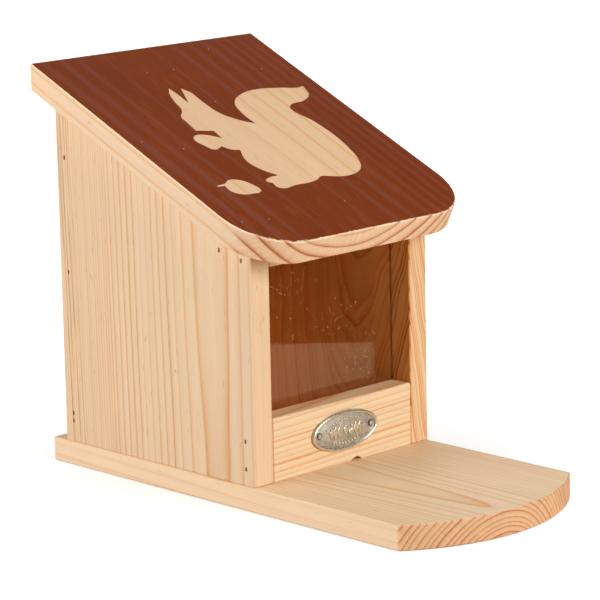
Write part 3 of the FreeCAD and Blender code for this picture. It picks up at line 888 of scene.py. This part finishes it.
class FEEDER_OT_plaque(bpy.types.Operator):
    """Casts the oval plaque with its rolled rim"""

    bl_idname = "feeder.plaque"
    bl_label = "Plaque"

    def execute(self, context):
        settings = context.scene.feeder.plaque
        start_fresh()
        middle = (PLATE_LOW + PLATE_HIGH) / 2.0 + PLAQUE_OFF
        bpy.ops.mesh.primitive_circle_add(vertices=128, radius=1.0, fill_type="NGON", location=(0, 0, 0))
        plaque = bpy.context.object
        plaque.name = "plaque"
        size = (PLATE_HIGH - PLATE_LOW) * PLAQUE_SHARE
        plaque.scale = (size.x / 2.0, size.z / 2.0, 1.0)
        plaque.rotation_euler = (math.pi / 2.0, 0.0, 0.0)
        plaque.location = (middle.x, PLATE_HIGH.y, middle.z)
        bake_place(plaque)
        edit(plaque)
        bpy.ops.mesh.select_all(action="SELECT")
        bpy.ops.mesh.extrude_region_move(TRANSFORM_OT_translate={"value": (0.0, -PLAQUE_THICK, 0.0)})
        for inward, upward in RIM_STEPS:
            bpy.ops.mesh.inset(thickness=inward, depth=upward, use_even_offset=True)
        bpy.ops.object.mode_set(mode="OBJECT")
        face_out(plaque)
        take(plaque)
        bpy.ops.object.shade_smooth_by_angle(angle=math.radians(50.0))
        material = pewter_material(settings)
        coat(plaque, material)
        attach(plaque, "box")
        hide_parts("oval_plate")
        finish("plate_pins", material)

        # an oak sprig between two rows of beads
        splines = [metres(ACORN_NUT), metres(OAK_LEAF), metres(OAK_LEAF, -1.0)]
        for row, count, reach, bead in BEAD_ROWS:
            for index in range(count):
                share_along = 2.0 * index / (count - 1) - 1.0
                x = share_along * reach
                z = row * (0.0060 - 0.0014 * share_along ** 2)
                turns = [quarter * math.pi / 2.0 for quarter in range(4)]
                splines.append([(x + bead * math.cos(t), z + bead * math.sin(t), "smooth") for t in turns])
        sprig = flat_curve("plaque_sprig", splines)
        sprig.data.resolution_u = 4
        sprig.data.extrude = settings.relief * 0.3
        sprig.data.bevel_depth = settings.relief * 0.4
        sprig.data.bevel_resolution = 2
        sprig.data.offset = -settings.relief * 0.4
        sprig = as_mesh(sprig)
        sprig.name = "plaque_sprig"
        face_out(sprig)
        stand_up(sprig, middle.x, PLATE_HIGH.y - FIELD_DEPTH, middle.z)
        take(sprig)
        bpy.ops.object.shade_smooth_by_angle(angle=math.radians(60.0))
        coat(sprig, material)
        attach(sprig, "box")
        return {"FINISHED"}


def pewter_material(settings):
    material, w, surface, _ = new_material("pewter")
    place = w.here()
    x, depth, z = w.split(place)
    low = w.span(depth, PLATE_HIGH.y - 0.0013, PLATE_HIGH.y - 0.0008)
    # painted shadow: a dark ring round each pin stands in for the shade in its hole
    sideways = w.math("SUBTRACT", w.math("ABSOLUTE", x), PLATE_PIN)
    upright = w.math("SUBTRACT", z, (PLATE_LOW.z + PLATE_HIGH.z) / 2.0)
    reach = w.vector("LENGTH", w.join(sideways, upright, 0.0))
    ring = w.times(w.span(reach, 0.0009, 0.0011), w.span(reach, 0.0013, 0.0020, 1.0, 0.0))
    grit = w.noise(w.scaled(place, 2200.0), 1.0, 3.0, 0.6)
    cloud = w.noise(w.scaled(place, 420.0), 1.0, 3.0, 0.6)
    dark = w.times(low, w.span(cloud, 0.35, 0.7, 0.34, 0.95))
    dark = w.plus(dark, w.span(grit, 0.52, 0.75, 0.0, 0.3))
    # the painted pin shadow joins the patina
    dark = w.math("ADD", dark, w.times(ring, 0.9), clamp=True)
    height = w.plus(w.times(grit, 0.4), w.times(cloud, 0.9))
    w.feed(surface, {
        "Base Color": w.blend(dark, tuple(settings.metal), tuple(settings.patina)),
        "Roughness": w.span(dark, 0.0, 0.8, 0.26, 0.6),
        "Metallic": w.span(dark, 0.0, 0.8, 0.85, 0.5),
        "Normal": w.bump(height, 0.7, 0.00015),
    })
    return material


class FEEDER_OT_hardware(bpy.types.Operator):
    """Finishes the hinges, their screws and the brads"""

    bl_idname = "feeder.hardware"
    bl_label = "Hardware"

    def execute(self, context):
        settings = context.scene.feeder.hardware
        brass, w, surface, _ = new_material("brass")
        place = w.here()
        brushed = w.noise(w.stretch(place, 250.0, 3000.0, 3000.0), 1.0, 2.0, 0.6)
        dull = w.noise(w.scaled(place, 220.0), 1.0, 3.0, 0.6)
        tarnish = w.span(dull, 0.45, 0.8, 0.0, 0.6)
        w.feed(surface, {
            "Base Color": w.blend(tarnish, tuple(settings.brass), dimmed(settings.brass, 0.55)),
            "Roughness": w.span(brushed, 0.3, 0.7, 0.25, 0.42),
            "Metallic": 1.0,
            "Normal": w.bump(brushed, 0.3, 0.00004),
        })
        steel, w, surface, _ = new_material("brad_steel")
        rust = w.noise(w.scaled(w.here(), 1500.0), 1.0, 3.0, 0.6)
        w.feed(surface, {
            "Base Color": w.blend(w.span(rust, 0.4, 0.7), tuple(settings.brad), dimmed(settings.brad, 1.7)),
            "Roughness": w.span(rust, 0.3, 0.7, 0.45, 0.7),
            "Metallic": 0.0,
        })
        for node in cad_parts:
            if "hinge" in node:
                finish(node, brass)
            elif node.endswith("brads"):
                finish(node, steel)
        return {"FINISHED"}


# -------------------------------------------------------------------- stage
WHITE = (1.0, 1.0, 1.0)
# The lamps: name, place and size in metres. Each looks at one point.
LAMPS = (
    ("key", (-1.45, 0.60, 0.45), 1.0),
    ("front", (0.22, -1.62, 0.60), 1.0),
    ("top", (0.0, -0.2, 1.5), 1.2),
    ("back", (0.90, 1.20, 0.60), 1.0),
)
LAMP_AIM = Vector((0.0, 0.0, 0.09))
CAMERA_LENS = 177.0         # millimetres, on a sensor 36 wide
CAMERA_PLACE = (-0.97155, -0.97403, 0.38603)
# The camera's right, up and back.
CAMERA_AXES = ((0.70900, -0.70494, -0.01958), (0.16200, 0.13578, 0.97740), (-0.68635, -0.69615, 0.21047))


class FEEDER_OT_stage(bpy.types.Operator):
    """Sets the floor, the lamps and the camera"""

    bl_idname = "feeder.stage"
    bl_label = "Stage"

    def execute(self, context):
        scene = context.scene
        settings = scene.feeder.stage
        start_fresh()
        bpy.ops.mesh.primitive_plane_add(size=8.0, location=(0.0, 0.0, -0.0002))
        floor = bpy.context.object
        floor.name = "floor"
        floor.data.materials.append(floor_material(settings))

        world = bpy.data.worlds.new("studio")
        world.use_nodes = True
        world.node_tree.nodes.clear()
        w = Wiring(world.node_tree)
        path = w.node("ShaderNodeLightPath").outputs
        seen = w.math("MAXIMUM", path["Is Camera Ray"], path["Is Transmission Ray"])
        dim = w.times(w.math("SUBTRACT", 1.0, path["Is Glossy Ray"]), settings.ambient)
        room, white = (
            w.node("ShaderNodeBackground", {"Color": WHITE, "Strength": strength}).outputs["Background"]
            for strength in (dim, 1.0)
        )
        w.node("ShaderNodeOutputWorld", {"Surface": w.mix_shaders(seen, room, white)})
        scene.world = world

        for name, place, size in LAMPS:
            lamp = bpy.data.lights.new(name + "_lamp", "AREA")
            lamp.shape = "SQUARE"
            lamp.size = size
            lamp.energy = getattr(settings, name)
            holder = bpy.data.objects.new(name + "_lamp", lamp)
            holder.location = place
            holder.rotation_euler = (LAMP_AIM - Vector(place)).to_track_quat("-Z", "Y").to_euler()
            scene.collection.objects.link(holder)

        lens = bpy.data.cameras.new("camera")
        lens.sensor_width = 36.0
        lens.lens = CAMERA_LENS
        lens.clip_start = 0.05
        lens.clip_end = 20.0
        camera = bpy.data.objects.new("camera", lens)
        camera.matrix_world = Matrix.Translation(CAMERA_PLACE) @ Matrix(CAMERA_AXES).transposed().to_4x4()
        scene.collection.objects.link(camera)
        scene.camera = camera
        scene.view_settings.view_transform = "Standard"
        return {"FINISHED"}


def floor_material(settings):
    material, w, surface, output = new_material("floor")
    place = w.here()
    grain = w.noise(w.scaled(place, 9.0), 1.0, 2.0, 0.5)
    shade = w.span(grain, 0.3, 0.7, 0.99, 1.01)
    mottled = w.scaled(tuple(settings.floor), shade)
    path = w.node("ShaderNodeLightPath").outputs
    # the floor gives little light back to the timber
    toned = w.blend(path["Is Diffuse Ray"], mottled, tuple(settings.bounce))
    w.feed(surface, {"Base Color": toned, "Roughness": 0.9, "Specular IOR Level": 0.0})
    white = w.times(path["Is Camera Ray"], w.span(w.vector("LENGTH", place), 0.1, 0.38, 0.42, 1.0))
    glow = w.node("ShaderNodeEmission", {"Color": WHITE, "Strength": white}).outputs["Emission"]
    lit = w.node("ShaderNodeAddShader", {0: surface.outputs["BSDF"], 1: glow}).outputs["Shader"]
    # glass and metal see a warm table that ends a third of a metre in front
    ahead = w.span(w.vector("DOT_PRODUCT", place, (0.702, -0.712, 0.0)), 0.302, 0.304, 1.0, 0.0)
    table = w.node("ShaderNodeEmission", {"Color": tuple(settings.table), "Strength": ahead})
    shown = w.mix_shaders(path["Is Glossy Ray"], lit, table.outputs["Emission"])
    w.put(output.inputs["Surface"], shown)
    return material


class FEEDER_PT_panel(bpy.types.Panel):
    bl_idname = "FEEDER_PT_panel"
    bl_label = "Squirrel feeder"
    bl_space_type = "VIEW_3D"
    bl_region_type = "UI"
    bl_category = "Feeder"

    def draw(self, context):
        settings = context.scene.feeder
        for group in ("timber", "paint", "window", "plaque", "hardware", "stage"):
            box = self.layout.box()
            box.label(text=group.capitalize())
            values = getattr(settings, group)
            for name in values.__annotations__:
                box.prop(values, name)
        for operator in OPERATORS:
            self.layout.operator(operator.bl_idname)


OPERATORS = (
    FEEDER_OT_boards,
    FEEDER_OT_roof_paint,
    FEEDER_OT_window,
    FEEDER_OT_plaque,
    FEEDER_OT_hardware,
    FEEDER_OT_stage,
)
CLASSES = (
    FeederTimberSettings,
    FeederPaintSettings,
    FeederWindowSettings,
    FeederPlaqueSettings,
    FeederHardwareSettings,
    FeederStageSettings,
    FeederSettings,
    *OPERATORS,
    FEEDER_PT_panel,
)


def register():
    for cls in CLASSES:
        bpy.utils.register_class(cls)
    bpy.types.Scene.feeder = PointerProperty(type=FeederSettings)


def unregister():
    del bpy.types.Scene.feeder
    for cls in reversed(CLASSES):
        bpy.utils.unregister_class(cls)


def main():
    register()
    bpy.ops.feeder.boards()
    bpy.ops.feeder.roof_paint()
    bpy.ops.feeder.window()
    bpy.ops.feeder.plaque()
    bpy.ops.feeder.hardware()
    bpy.ops.feeder.stage()


if __name__ == "__main__":
    main()
